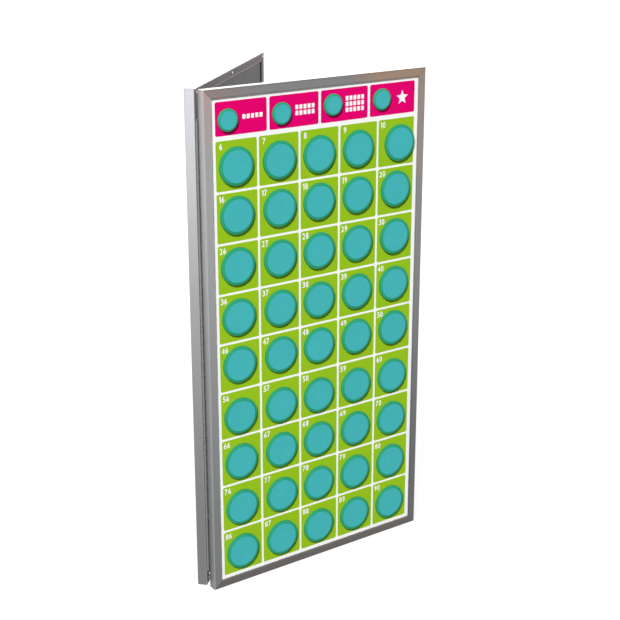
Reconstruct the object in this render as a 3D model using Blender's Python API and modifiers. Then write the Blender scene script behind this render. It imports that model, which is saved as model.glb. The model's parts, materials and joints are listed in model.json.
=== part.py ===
"""Folding number board: two framed panels on one long pin hinge, with lift-off magnetic tokens.

Sizes are in metres and +Z is up. The front panel's printed face looks along -Y, and the origin is the
middle of the underside of the front panel's bottom rail. The rear panel is built shut, back to back with
the front one, and is then turned open about the hinge pin.
"""
import math

import bmesh
import bpy
from mathutils import Matrix

# Printed grid
GRID_COLUMNS = 5
GRID_ROWS = 9
CELL_WIDTH = 0.0411
CELL_HEIGHT = 0.0435
CELL_GAP = 0.0033
HEADER_CELLS = 4
HEADER_HEIGHT = 0.0297
HEADER_CELL_GAP = 0.0040
HEADER_TO_GRID = 0.0043
SIDE_MARGIN = 0.0040
TOP_MARGIN = 0.0034
BOTTOM_MARGIN = 0.0036

# Frame rails and the boards in their grooves
RAIL_FACE = 0.0080
RAIL_WALL = 0.0012
RAIL_CHAMFER = 0.0005
BOARD_THICKNESS = 0.0064
SEAT_GAP = 0.0003

# Magnetic tokens: a straight skirt with a sloping rim above it
TOKEN_RADIUS = 0.0175
TOKEN_RIM = 0.0026
HEADER_TOKEN_RADIUS = 0.0100
HEADER_TOKEN_RIM = 0.0015
HEADER_TOKEN_INSET = 0.0121
TOKEN_SKIRT = 0.0012
TOKEN_HEIGHT = 0.0022
TOKEN_SIDES = 16
REAR_TOKEN_SIDES = 12
REAR_TOKEN_ROOT = 0.0012

# How far hand-set tokens lie below, and to the right of, the middle of their cells
ROW_DROP = (0.0016, -0.0012, -0.0011, -0.0002, -0.0015, 0.0023, 0.0014, 0.0016, 0.0012)
COLUMN_DRIFT = (-0.0004, 0.0002, -0.0009, -0.0012, -0.0009)
HEADER_DROP = (0.0013, 0.0012, -0.0011, -0.0006)
STRAY_NUMBER = 10
STRAY_DRIFT = 0.0038

# Hinge
FOLD_ANGLE = math.radians(43.0)
PIN_RADIUS = 0.00065
PIN_CLEARANCE = 0.00012
PIN_HEAD_RADIUS = 0.0011
PIN_HEAD_LENGTH = 0.0006
KNUCKLE_WALL = 0.0005
KNUCKLE_PITCH = 0.0060
KNUCKLE_GAP = 0.0003
KNUCKLE_CLEARANCE = 0.0003
LEAF_THICKNESS = 0.0006
LEAF_REACH = 0.0074
HINGE_EDGE_OFFSET = 0.0004
HINGE_TOP_INSET = 0.0260
HINGE_BOTTOM_INSET = 0.0165
BORE_SIDES = 8
BARREL_STEPS = 9

# Sizes that follow from the ones above
COLUMN_PITCH = CELL_WIDTH + CELL_GAP
ROW_PITCH = CELL_HEIGHT + CELL_GAP
GRID_WIDTH = GRID_COLUMNS * COLUMN_PITCH - CELL_GAP
GRID_HEIGHT = GRID_ROWS * ROW_PITCH - CELL_GAP
HEADER_CELL_WIDTH = (GRID_WIDTH - (HEADER_CELLS - 1) * HEADER_CELL_GAP) / HEADER_CELLS
PANEL_WIDTH = GRID_WIDTH + 2 * (SIDE_MARGIN + RAIL_FACE)
PRINT_HEIGHT = TOP_MARGIN + HEADER_HEIGHT + HEADER_TO_GRID + GRID_HEIGHT + BOTTOM_MARGIN
PANEL_HEIGHT = PRINT_HEIGHT + 2 * RAIL_FACE
PANEL_THICKNESS = BOARD_THICKNESS + 2 * (SEAT_GAP + RAIL_WALL)
HEADER_TOP = PANEL_HEIGHT - RAIL_FACE - TOP_MARGIN
GRID_TOP = HEADER_TOP - HEADER_HEIGHT - HEADER_TO_GRID
BORE_RADIUS = (PIN_RADIUS + PIN_CLEARANCE) / math.cos(math.pi / BORE_SIDES)
BARREL_RADIUS = BORE_RADIUS + KNUCKLE_WALL
AXIS_TO_PANEL_MIDDLE = PANEL_THICKNESS / 2 + SEAT_GAP + BARREL_RADIUS
HINGE_ROOM = PANEL_HEIGHT - HINGE_TOP_INSET - HINGE_BOTTOM_INSET
KNUCKLES = int(HINGE_ROOM / KNUCKLE_PITCH)
HINGE_LENGTH = KNUCKLES * KNUCKLE_PITCH
HINGE_MIDDLE_Z = HINGE_BOTTOM_INSET + HINGE_LENGTH / 2
SMOOTH_ANGLE = math.radians(35.0)
WELD_DISTANCE = 0.000001
END_FACE_SLOPE = 0.1


def clear_scene():
    """Remove every object of the open scene."""
    for item in list(bpy.data.objects):
        bpy.data.objects.remove(item, do_unlink=True)


def new_collection(name):
    """Add a collection to the scene and return it."""
    collection = bpy.data.collections.new(name)
    bpy.context.scene.collection.children.link(collection)
    return collection


def finish(name, colour, roughness, metallic):
    """Return a Principled material of one colour."""
    material = bpy.data.materials.new(name)
    material.use_nodes = True
    shader = material.node_tree.nodes["Principled BSDF"]
    shader.inputs["Base Color"].default_value = (*colour, 1.0)
    shader.inputs["Roughness"].default_value = roughness
    shader.inputs["Metallic"].default_value = metallic
    return material


def add_object(name, mesh, material, collection, parent=None):
    """Put a mesh in the scene as a named piece with its own material."""
    if mesh.materials:
        mesh.materials[0] = material
    else:
        mesh.materials.append(material)
    piece = bpy.data.objects.new(name, mesh)
    piece.parent = parent
    collection.objects.link(piece)
    return piece


def add_empty(name, collection):
    """Add an empty that carries the pieces of one moving body."""
    carrier = bpy.data.objects.new(name, None)
    carrier.empty_display_size = PANEL_WIDTH / 4
    collection.objects.link(carrier)
    return carrier


def bmesh_to_mesh(builder, name):
    """Turn a bmesh into a mesh datablock, smooth except at its real edges."""
    bmesh.ops.recalc_face_normals(builder, faces=builder.faces)
    mesh = bpy.data.meshes.new(name)
    builder.to_mesh(mesh)
    builder.free()
    mesh.shade_smooth()
    mesh.set_sharp_from_angle(angle=SMOOTH_ANGLE)
    return mesh


def extruded_outline(name, outlines, length):
    """Extrude closed outlines in the XY plane along Z, about the middle, and return a welded bmesh.

    The first outline is the outer edge, and any more are holes in it.
    """
    curve = bpy.data.curves.new(name, "CURVE")
    curve.dimensions = "2D"
    curve.fill_mode = "BOTH"
    curve.extrude = length / 2
    for outline in outlines:
        spline = curve.splines.new("POLY")
        spline.points.add(len(outline) - 1)
        spline.use_cyclic_u = True
        for point, (x, y) in zip(spline.points, outline):
            point.co = (x, y, 0.0, 1.0)
    guide = bpy.data.objects.new(name, curve)
    bpy.context.scene.collection.objects.link(guide)
    graph = bpy.context.evaluated_depsgraph_get()
    flat = bpy.data.meshes.new_from_object(guide.evaluated_get(graph))
    bpy.data.objects.remove(guide, do_unlink=True)
    builder = bmesh.new()
    builder.from_mesh(flat)
    bpy.data.meshes.remove(flat)
    bmesh.ops.remove_doubles(builder, verts=builder.verts, dist=WELD_DISTANCE)
    return builder


def rail_section():
    """Return the U section of a rail as (depth in from the panel's edge, place in its thickness)."""
    half = PANEL_THICKNESS / 2
    return [
        (RAIL_CHAMFER, -half),
        (RAIL_FACE, -half),
        (RAIL_FACE, RAIL_WALL - half),
        (RAIL_WALL, RAIL_WALL - half),
        (RAIL_WALL, half - RAIL_WALL),
        (RAIL_FACE, half - RAIL_WALL),
        (RAIL_FACE, half),
        (RAIL_CHAMFER, half),
        (0.0, half - RAIL_CHAMFER),
        (0.0, RAIL_CHAMFER - half),
    ]


def mitred_rail(name, length, set_back):
    """Return a rail along Z whose ends are mitred, each one set back from the mitre's plane.

    Its groove opens along +X. A point of either end slides inwards by its own depth in the section,
    which gives the mitre its 45 degrees.
    """
    builder = extruded_outline(name, [rail_section()], length)
    for vert in builder.verts:
        reach = length / 2 - vert.co.x - set_back
        vert.co.z = math.copysign(reach, vert.co.z)
    return builder


def rail_places():
    """Return (side, length, place) for the four rails of a panel that is centred on X = 0, Y = 0."""
    half_width = PANEL_WIDTH / 2
    half_height = PANEL_HEIGHT / 2
    quarter_turn = math.pi / 2
    return [
        ("hinge", PANEL_HEIGHT, Matrix.Translation((-half_width, 0.0, half_height))),
        ("outer", PANEL_HEIGHT,
         Matrix.Translation((half_width, 0.0, half_height)) @ Matrix.Rotation(math.pi, 4, "Z")),
        ("bottom", PANEL_WIDTH, Matrix.Rotation(-quarter_turn, 4, "Y")),
        ("top", PANEL_WIDTH,
         Matrix.Translation((0.0, 0.0, PANEL_HEIGHT)) @ Matrix.Rotation(quarter_turn, 4, "Y")),
    ]


def build_front_rails(material, collection, parent):
    """Make the front panel's four rails, which meet at open mitres."""
    set_back = SEAT_GAP / math.sqrt(2)
    for side, length, place in rail_places():
        name = "front_%s_rail" % side
        mesh = bmesh_to_mesh(mitred_rail(name, length, set_back), name)
        rail = add_object(name, mesh, material, collection, parent)
        rail.matrix_local = place


def build_rear_frame(material, collection, parent):
    """Make the rear panel's frame: the same four rails, welded to each other along their mitres."""
    name = "rear_frame"
    frame = bmesh.new()
    for _, length, place in rail_places():
        rail = mitred_rail(name, length, 0.0)
        rail.normal_update()
        ends = [face for face in rail.faces if abs(face.normal.z) > END_FACE_SLOPE]
        bmesh.ops.delete(rail, geom=ends, context="FACES")
        rail.transform(place)
        loose = bpy.data.meshes.new(name)
        rail.to_mesh(loose)
        rail.free()
        frame.from_mesh(loose)
        bpy.data.meshes.remove(loose)
    bmesh.ops.remove_doubles(frame, verts=frame.verts, dist=WELD_DISTANCE)
    piece = add_object(name, bmesh_to_mesh(frame, name), material, collection, parent)
    piece.location = rear_panel_middle()


def rear_panel_middle():
    """Return the foot of the rear panel's middle, seen from the hinge axis with the board shut."""
    return (HINGE_EDGE_OFFSET + PANEL_WIDTH / 2, AXIS_TO_PANEL_MIDDLE, 0.0)


def board_mesh(name):
    """Return the laminated board that fills a frame's groove, centred on its own middle."""
    inset = RAIL_WALL + SEAT_GAP
    size = (PANEL_WIDTH - 2 * inset, BOARD_THICKNESS, PANEL_HEIGHT - 2 * inset)
    builder = bmesh.new()
    bmesh.ops.create_cube(builder, size=1.0, matrix=Matrix.Diagonal((*size, 1.0)))
    return bmesh_to_mesh(builder, name)


def disc(radius, rim, sides, root):
    """Return a token that faces +Z, seated on Z = 0, with a root below its seat where it is fused.

    A short cylinder is the skirt, and its top face is drawn in and raised to make the sloping rim.
    """
    builder = bmesh.new()
    middle = Matrix.Translation((0.0, 0.0, (TOKEN_SKIRT - root) / 2))
    bmesh.ops.create_cone(builder, cap_ends=True, segments=sides, radius1=radius, radius2=radius,
                          depth=TOKEN_SKIRT + root, matrix=middle)
    top = max(builder.faces, key=lambda face: face.calc_center_median().z)
    bmesh.ops.inset_region(builder, faces=[top], thickness=rim, depth=TOKEN_HEIGHT - TOKEN_SKIRT,
                           use_even_offset=True)
    return builder


def cell_middle(row, column):
    """Return a number cell's middle as (right of the panel's middle, up from its foot)."""
    right = (CELL_WIDTH - GRID_WIDTH) / 2 + column * COLUMN_PITCH
    up = GRID_TOP - CELL_HEIGHT / 2 - row * ROW_PITCH
    return right, up


def token_spot(row, column):
    """Return where a number token lies, a little off the middle of its cell as hands set it."""
    right, up = cell_middle(row, column)
    drift = COLUMN_DRIFT[column % len(COLUMN_DRIFT)]
    drop = ROW_DROP[row % len(ROW_DROP)]
    return right + drift, up - drop


def header_spot(index):
    """Return where the token of a header cell lies, at the cell's left end."""
    left = index * (HEADER_CELL_WIDTH + HEADER_CELL_GAP) - GRID_WIDTH / 2
    drop = HEADER_DROP[index % len(HEADER_DROP)]
    return left + HEADER_TOKEN_INSET, HEADER_TOP - HEADER_HEIGHT / 2 - drop


def build_front_tokens(material, collection, parent):
    """Set one lift-off token on each number cell and on each header cell of the front panel."""
    number_token = bmesh_to_mesh(disc(TOKEN_RADIUS, TOKEN_RIM, TOKEN_SIDES, 0.0), "number_token")
    header_token = bmesh_to_mesh(
        disc(HEADER_TOKEN_RADIUS, HEADER_TOKEN_RIM, TOKEN_SIDES, 0.0), "header_token")
    spots = []
    for row in range(GRID_ROWS):
        for column in range(GRID_COLUMNS):
            number = (2 * row + 1) * GRID_COLUMNS + column + 1
            right, up = token_spot(row, column)
            if number == STRAY_NUMBER:
                right += STRAY_DRIFT
            spots.append(("token_%02d" % number, number_token, (right, up)))
    for index in range(HEADER_CELLS):
        spots.append(("header_token_%d" % (index + 1), header_token, header_spot(index)))
    seat = -BOARD_THICKNESS / 2 - SEAT_GAP
    for name, mesh, (right, up) in spots:
        token = add_object(name, mesh, material, collection, parent)
        token.location = (right, seat, up)
        token.rotation_euler = (math.pi / 2, 0.0, 0.0)


def build_rear_board(material, collection, cutters, parent):
    """Make the rear board, with the tokens of its hidden printed side fused to it."""
    board = add_object("rear_board", board_mesh("rear_board"), material, collection, parent)
    right, back, foot = rear_panel_middle()
    board.location = (right, back, foot + PANEL_HEIGHT / 2)
    token = bmesh_to_mesh(disc(TOKEN_RADIUS, TOKEN_RIM, REAR_TOKEN_SIDES, REAR_TOKEN_ROOT), "rear_token")
    face_out = Matrix.Rotation(-math.pi / 2, 4, "X")
    group = bmesh.new()
    for row in range(GRID_ROWS):
        for column in range(GRID_COLUMNS):
            across, up = token_spot(row, column)
            place = Matrix.Translation((-across, BOARD_THICKNESS / 2, up - PANEL_HEIGHT / 2)) @ face_out
            first = len(group.verts)
            group.from_mesh(token)
            group.verts.ensure_lookup_table()
            bmesh.ops.transform(group, matrix=place, verts=group.verts[first:])
    tokens = add_object("rear_tokens", bmesh_to_mesh(group, "rear_tokens"), material, cutters, parent)
    tokens.location = board.location
    hide_tool(tokens)
    join = board.modifiers.new("tokens", "BOOLEAN")
    join.operation = "UNION"
    join.object = tokens


def hide_tool(tool):
    """Show a cutter or guide as a wire that is never rendered."""
    tool.hide_render = True
    tool.display_type = "WIRE"


def leaf_section(side):
    """Return the outlines of a rolled leaf about the pin: its sheet's edge, and the bore.

    The strip runs along +X, on the -Y side of the pin for side 1 and on the +Y side for side -1.
    """
    inner_face = BARREL_RADIUS - LEAF_THICKNESS
    start = -math.pi / 2
    sweep = -2 * math.pi + math.pi / 2 - math.asin(inner_face / BARREL_RADIUS)
    outer = []
    for step in range(BARREL_STEPS + 1):
        angle = start + sweep * step / BARREL_STEPS
        outer.append((BARREL_RADIUS * math.cos(angle), side * BARREL_RADIUS * math.sin(angle)))
    strip_end = HINGE_EDGE_OFFSET + LEAF_REACH
    outer.append((strip_end, -side * inner_face))
    outer.append((strip_end, -side * BARREL_RADIUS))
    bore = []
    for step in range(BORE_SIDES):
        angle = 2 * math.pi * step / BORE_SIDES
        bore.append((BORE_RADIUS * math.cos(angle), BORE_RADIUS * math.sin(angle)))
    return [outer, bore]


def notch_mesh(name, first):
    """Return one block for each knuckle of the other leaf, from knuckle first on, every second one."""
    depth = BARREL_RADIUS + KNUCKLE_CLEARANCE
    outside = 2 * BARREL_RADIUS
    size = (depth + outside, 2 * outside, KNUCKLE_PITCH + KNUCKLE_GAP)
    builder = bmesh.new()
    for knuckle in range(first, KNUCKLES, 2):
        low = knuckle * KNUCKLE_PITCH - KNUCKLE_GAP / 2
        high = low + size[2]
        if knuckle == 0:
            low -= KNUCKLE_PITCH
        if knuckle == KNUCKLES - 1:
            high += KNUCKLE_PITCH
        middle = ((depth - outside) / 2, 0.0, (low + high - HINGE_LENGTH) / 2)
        place = Matrix.Translation(middle) @ Matrix.Diagonal((size[0], size[1], high - low, 1.0))
        bmesh.ops.create_cube(builder, size=1.0, matrix=place)
    return bmesh_to_mesh(builder, name)


def build_leaf(name, side, first_notch, place, material, collection, cutters, parent):
    """Make one hinge leaf: a rolled strip, notched where the other leaf's knuckles come through."""
    mesh = bmesh_to_mesh(extruded_outline(name, leaf_section(side), HINGE_LENGTH), name)
    leaf = add_object(name, mesh, material, collection, parent)
    leaf.location = place
    notches = add_object(name + "_notches", notch_mesh(name + "_notches", first_notch), material,
                         cutters, parent)
    notches.location = place
    hide_tool(notches)
    cut = leaf.modifiers.new("notches", "BOOLEAN")
    cut.operation = "DIFFERENCE"
    cut.object = notches


def build_pin(material, collection, parent, place):
    """Turn the hinge pin, with a peened head at each end that keeps it in the knuckles."""
    top = HINGE_LENGTH / 2 + SEAT_GAP + PIN_HEAD_LENGTH
    neck = top - PIN_HEAD_LENGTH
    profile = [(0.0, top), (PIN_HEAD_RADIUS, top), (PIN_HEAD_RADIUS, neck), (PIN_RADIUS, neck)]
    profile += [(x, -z) for x, z in reversed(profile)]
    builder = bmesh.new()
    verts = [builder.verts.new((x, 0.0, z)) for x, z in profile]
    for upper, lower in zip(verts, verts[1:]):
        builder.edges.new((upper, lower))
    mesh = bpy.data.meshes.new("hinge_pin")
    builder.to_mesh(mesh)
    builder.free()
    pin = add_object("hinge_pin", mesh, material, collection, parent)
    pin.location = place
    turn = pin.modifiers.new("turned", "SCREW")
    turn.steps = BORE_SIDES
    turn.render_steps = BORE_SIDES
    turn.use_merge_vertices = True
    turn.merge_threshold = WELD_DISTANCE
    turn.use_smooth_shade = True


def main():
    """Build the whole board."""
    clear_scene()
    board = new_collection("bingo_master_board")
    cutters = new_collection("bingo_master_board_cutters")
    aluminium = finish("brushed_aluminium", (0.40, 0.38, 0.37), 0.38, 1.0)
    steel = finish("hinge_steel", (0.45, 0.43, 0.41), 0.35, 1.0)
    white = finish("white_board", (0.90, 0.90, 0.90), 0.30, 0.0)
    turquoise = finish("turquoise_token", (0.06, 0.45, 0.47), 0.45, 0.0)

    front_panel = add_empty("front_panel", board)
    rear_panel = add_empty("rear_panel", board)
    axis = (-PANEL_WIDTH / 2 - HINGE_EDGE_OFFSET, AXIS_TO_PANEL_MIDDLE, 0.0)
    rear_panel.location = axis
    rear_panel.rotation_euler = (0.0, 0.0, FOLD_ANGLE)

    build_front_rails(aluminium, board, front_panel)
    front_board = add_object("front_board", board_mesh("front_board"), white, board, front_panel)
    front_board.location = (0.0, 0.0, PANEL_HEIGHT / 2)
    build_front_tokens(turquoise, board, front_panel)

    build_rear_frame(aluminium, board, rear_panel)
    build_rear_board(white, board, cutters, rear_panel)

    hinge_on_front = (axis[0], axis[1], HINGE_MIDDLE_Z)
    hinge_on_rear = (0.0, 0.0, HINGE_MIDDLE_Z)
    build_leaf("front_hinge_leaf", 1, 1, hinge_on_front, steel, board, cutters, front_panel)
    build_leaf("rear_hinge_leaf", -1, 0, hinge_on_rear, steel, board, cutters, rear_panel)
    build_pin(steel, board, front_panel, hinge_on_front)


main()
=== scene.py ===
"""Looks of a folding number board: two framed panels on a piano hinge, set with magnetic tokens.

Lengths are in metres. A panel is drawn in its own space first: X runs to the right of someone who reads it,
Y runs up from its foot, and Z stands out of its printed face, with Z = 0 halfway through its thickness. A
matrix then carries each finished mesh into the row frame, where the front panel's print looks along -Y.
"""
import json
import logging
import math
from collections.abc import Iterable, Mapping, Sequence
from dataclasses import dataclass
from enum import Enum, IntEnum

import bmesh
import bpy
from bmesh.types import BMesh, BMVert
from bpy.types import Material, Mesh, Node, NodeSocket, NodeTree, Object
from mathutils import Matrix, Vector

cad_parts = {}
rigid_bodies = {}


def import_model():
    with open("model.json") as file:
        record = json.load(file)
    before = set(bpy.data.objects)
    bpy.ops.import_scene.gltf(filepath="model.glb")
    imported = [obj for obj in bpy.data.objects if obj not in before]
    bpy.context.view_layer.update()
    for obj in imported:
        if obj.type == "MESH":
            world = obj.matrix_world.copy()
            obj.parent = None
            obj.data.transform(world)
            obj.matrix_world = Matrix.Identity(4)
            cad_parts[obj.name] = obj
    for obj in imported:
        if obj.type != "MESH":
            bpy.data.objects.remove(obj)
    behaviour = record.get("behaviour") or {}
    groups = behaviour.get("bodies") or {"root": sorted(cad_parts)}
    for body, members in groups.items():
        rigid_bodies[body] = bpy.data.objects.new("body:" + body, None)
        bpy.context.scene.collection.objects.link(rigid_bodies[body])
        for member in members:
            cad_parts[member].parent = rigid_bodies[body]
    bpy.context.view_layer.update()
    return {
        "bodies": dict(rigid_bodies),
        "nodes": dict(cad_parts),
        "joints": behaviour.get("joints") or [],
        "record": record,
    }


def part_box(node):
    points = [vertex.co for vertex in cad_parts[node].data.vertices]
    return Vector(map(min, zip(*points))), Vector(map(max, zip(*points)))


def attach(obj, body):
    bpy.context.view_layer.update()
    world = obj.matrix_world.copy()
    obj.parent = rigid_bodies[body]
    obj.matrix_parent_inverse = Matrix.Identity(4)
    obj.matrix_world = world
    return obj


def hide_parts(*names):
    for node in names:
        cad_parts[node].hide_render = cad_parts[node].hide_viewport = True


LOG = logging.getLogger("number_board")
MM = 0.001
WELD_DISTANCE = 0.0005 * MM
SMOOTH_ANGLE = math.radians(32.0)
GRAIN_MAP = "grain"
WORN_ATTRIBUTE = "worn"
# the painted shade of each rail, and of its lip
RAIL_SHADE_ATTRIBUTE = "tone"
# each rail's share of the painted reflections
REFLECTION_ATTRIBUTE = "cast"
# where painted shade darkens a colour: on the boards along the frame, and round the tokens' feet
CONTACT_SHADE_ATTRIBUTE = "grime"
PART_ATTRIBUTE = "part"

Outline = list[tuple[float, float]]


class Slot(Enum):
    """The record's material slots."""

    FRAME = "frame_aluminium"
    HINGE = "hinge_steel"
    BOARD = "printed_board"
    TOKEN = "token_plastic"


class Side(Enum):
    """The four rails of a panel's frame."""

    HINGE = "hinge"
    OUTER = "outer"
    BOTTOM = "bottom"
    TOP = "top"


class TokenPart(IntEnum):
    """What a token is put together from, as numbered on the faces of its mesh."""

    FACE = 0
    CAP = 1
    MAGNET = 2


def linear(colour: str) -> tuple[float, float, float, float]:
    """Turn an sRGB colour into linear RGBA.

    Args:
        colour: The colour as "#rrggbb".

    Returns:
        Red, green and blue in linear light, and an alpha of 1.
    """
    shares = [int(colour[at:at + 2], 16) / 255 for at in (1, 3, 5)]
    light = [s / 12.92 if s <= 0.04045 else ((s + 0.055) / 1.055) ** 2.4 for s in shares]
    return (*light, 1.0)


def add_node(tree: NodeTree, kind: str, inputs: Mapping[str | int, object] | None = None,
             **settings: object) -> Node:
    """Add a node to a tree, with its settings, values and links.

    Args:
        tree: The shader or geometry tree.
        kind: The node's type name.
        inputs: For each input's name or number, a value or the output socket that feeds it.
        settings: The node's own properties.

    Returns:
        The new node.
    """
    node = tree.nodes.new(kind)
    for name, value in settings.items():
        setattr(node, name, value)
    for key, value in (inputs or {}).items():
        if isinstance(value, NodeSocket):
            tree.links.new(value, node.inputs[key])
        else:
            node.inputs[key].default_value = value
    return node


@dataclass(frozen=True)
class Finish:
    """A real material: its name, its colour and how it shines."""

    name: str
    colour: str
    roughness: float
    metallic: float = 0.0
    ior: float = 1.5
    specular: float = 0.5

    def material(self) -> Material:
        """Make the Blender material when it is first asked for.

        Returns:
            The material, the same one each time.
        """
        material = bpy.data.materials.get(self.name)
        if material is None:
            material = bpy.data.materials.new(self.name)
            material.use_nodes = True
            shader = material.node_tree.nodes["Principled BSDF"]
            shader.inputs["Base Color"].default_value = linear(self.colour)
            shader.inputs["Roughness"].default_value = self.roughness
            shader.inputs["Metallic"].default_value = self.metallic
            if not self.metallic:
                shader.inputs["IOR"].default_value = self.ior
                shader.inputs["Specular IOR Level"].default_value = self.specular
            self.dress(material.node_tree, shader)
        return material

    def dress(self, tree: NodeTree, shader: Node) -> None:
        """Add the material's own pattern. A plain finish has none.

        Args:
            tree: The material's node tree.
            shader: Its Principled BSDF.
        """

    def speckle(self, tree: NodeTree, size: float, detail: float = 2.0) -> NodeSocket:
        """Spread even spots over the piece, on object coordinates.

        Args:
            tree: The material's node tree.
            size: How far apart the spots lie.
            detail: How many finer layers they have.

        Returns:
            The pattern from 0 to 1.
        """
        place = add_node(tree, "ShaderNodeTexCoord")
        spots = add_node(tree, "ShaderNodeTexNoise",
                         {"Vector": place.outputs["Object"], "Scale": 1 / size, "Detail": detail})
        return spots.outputs["Fac"]

    def tint(self, tree: NodeTree, shader: Node, pattern: NodeSocket, swing: float) -> NodeSocket:
        """Let the colour go darker and lighter with a pattern.

        Args:
            tree: The material's node tree.
            shader: Its Principled BSDF.
            pattern: The pattern from 0 to 1.
            swing: How far the colour goes either way, as a share of itself.

        Returns:
            The colour.
        """
        red, green, blue, _ = linear(self.colour)
        dark = [part * (1 - swing) for part in (red, green, blue)]
        light = [min(1.0, part * (1 + swing)) for part in (red, green, blue)]
        blend = add_node(tree, "ShaderNodeMix", {0: pattern, 6: (*dark, 1.0), 7: (*light, 1.0)},
                         data_type="RGBA").outputs[2]
        tree.links.new(blend, shader.inputs["Base Color"])
        return blend

    def gloss(self, tree: NodeTree, shader: Node, pattern: NodeSocket, swing: float) -> None:
        """Let the roughness go down and up with a pattern.

        Args:
            tree: The material's node tree.
            shader: Its Principled BSDF.
            pattern: The pattern from 0 to 1.
            swing: How far the roughness goes either way.
        """
        spread = add_node(tree, "ShaderNodeMapRange", {"Value": pattern, "To Min": self.roughness - swing,
                                                       "To Max": self.roughness + swing})
        tree.links.new(spread.outputs["Result"], shader.inputs["Roughness"])

    def relief(self, tree: NodeTree, shader: Node, pattern: NodeSocket, depth: float) -> None:
        """Raise and sink the surface by a depth with a pattern from 0 to 1."""
        bump = add_node(tree, "ShaderNodeBump", {"Height": pattern, "Distance": depth})
        tree.links.new(bump.outputs["Normal"], shader.inputs["Normal"])


@dataclass(frozen=True)
class PaintedReflection:
    """A painted reflection: a warm colour laid on the metal towards a corner where light is reflected; it
    sets in and is full so far along a way there.
    """

    colour: str
    way: tuple[float, float, float]
    start: float
    end: float


@dataclass(frozen=True)
class BrushedAluminium(Finish):
    """Extruded aluminium brushed along its length: it shines in soft streaks and is bright on worn edges."""

    # painted shade: the colour that the metal darkens to towards the foot, for the dimmer light reflected
    # there
    shaded_foot_colour: str = "#77797b"
    edge_colour: str = "#b8b8b9"
    # the heights where the painted shade is full, and where it has faded out
    foot_height: float = 0.03
    top_height: float = 0.43
    # painted reflections of warm light near the upper corners of the frame
    painted_reflections: tuple[PaintedReflection, ...] = (PaintedReflection("#bfa48f", (0.8, 0.0, 0.6), 0.305, 0.335),
                               PaintedReflection("#b4a09c", (-0.8, -8.0, 0.6), 0.378, 0.418))
    line_width: float = 0.55 * MM  # real lines are about 0.1 mm wide, too fine to show
    line_length: float = 70 * MM
    line_detail: float = 3.0
    line_depth: float = 0.012 * MM
    line_swing: float = 0.09
    tone_size: float = 90 * MM
    tone_swing: float = 0.05
    gloss_swing: float = 0.05
    edge_share: float = 0.45
    anisotropy: float = 0.4

    def body(self, tree: NodeTree) -> NodeSocket:
        """Colour the metal: painted shade darker towards the foot, bright on worn edges, and with the
        painted reflections.

        Args:
            tree: The material's node tree.

        Returns:
            The colour.
        """
        place = add_node(tree, "ShaderNodeTexCoord").outputs["Object"]
        height = add_node(tree, "ShaderNodeSeparateXYZ", {0: place}).outputs["Z"]
        # painted shade: the share of the full colour, rising from the foot to the top
        rise = add_node(tree, "ShaderNodeMapRange",
                        {"Value": height, "From Min": self.foot_height, "From Max": self.top_height},
                        interpolation_type="SMOOTHSTEP").outputs["Result"]
        worn, reflection_share = [add_node(tree, "ShaderNodeAttribute", attribute_name=name).outputs["Fac"]
                       for name in (WORN_ATTRIBUTE, REFLECTION_ATTRIBUTE)]
        polish = add_node(tree, "ShaderNodeMath", {0: worn, 1: self.edge_share}, operation="MULTIPLY")
        layers = [(rise, self.colour), (polish.outputs[0], self.edge_colour)]
        # the painted reflections, each fading in along its way towards its corner
        for cast in self.painted_reflections:
            far = add_node(tree, "ShaderNodeVectorMath", {0: place, 1: cast.way},
                           operation="DOT_PRODUCT").outputs["Value"]
            share = add_node(tree, "ShaderNodeMapRange", {"Value": far, "From Min": cast.start,
                                                          "From Max": cast.end, "To Max": reflection_share})
            layers.append((share.outputs["Result"], cast.colour))
        shade = linear(self.shaded_foot_colour)
        for share, colour in layers:
            shade = add_node(tree, "ShaderNodeMix", {0: share, 6: shade, 7: linear(colour)},
                             data_type="RGBA").outputs[2]
        return shade

    def dress(self, tree: NodeTree, shader: Node) -> None:
        """Add the metal's colour, each rail's painted shade and the brushed lines.

        Args:
            tree: The material's node tree.
            shader: Its Principled BSDF.
        """
        grain = add_node(tree, "ShaderNodeUVMap", uv_map=GRAIN_MAP)
        scale = (1 / self.line_length, 1 / self.line_width, 1.0)
        along = add_node(tree, "ShaderNodeMapping", {"Vector": grain.outputs["UV"], "Scale": scale})
        lines = add_node(tree, "ShaderNodeTexNoise", {"Vector": along.outputs["Vector"], "Scale": 1.0,
                                                      "Detail": self.line_detail}).outputs["Fac"]
        # the rail's painted shade, then the brushed lines and the random clouds
        factors = [add_node(tree, "ShaderNodeAttribute", attribute_name=RAIL_SHADE_ATTRIBUTE).outputs["Vector"]]
        clouds = self.speckle(tree, self.tone_size)
        for pattern, swing in ((lines, self.line_swing), (clouds, self.tone_swing)):
            drift = add_node(tree, "ShaderNodeMapRange",
                             {"Value": pattern, "To Min": 1 - swing, "To Max": 1 + swing})
            factors.append(drift.outputs["Result"])
        shade = self.body(tree)
        for factor in factors:
            shade = add_node(tree, "ShaderNodeMix", {0: 1.0, 6: shade, 7: factor}, data_type="RGBA",
                             blend_type="MULTIPLY").outputs[2]
        tree.links.new(shade, shader.inputs["Base Color"])
        self.gloss(tree, shader, lines, self.gloss_swing)
        self.relief(tree, shader, lines, self.line_depth)
        shader.inputs["Anisotropic"].default_value = self.anisotropy
        lay = add_node(tree, "ShaderNodeTangent", direction_type="UV_MAP", uv_map=GRAIN_MAP)
        tree.links.new(lay.outputs["Tangent"], shader.inputs["Tangent"])


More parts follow.
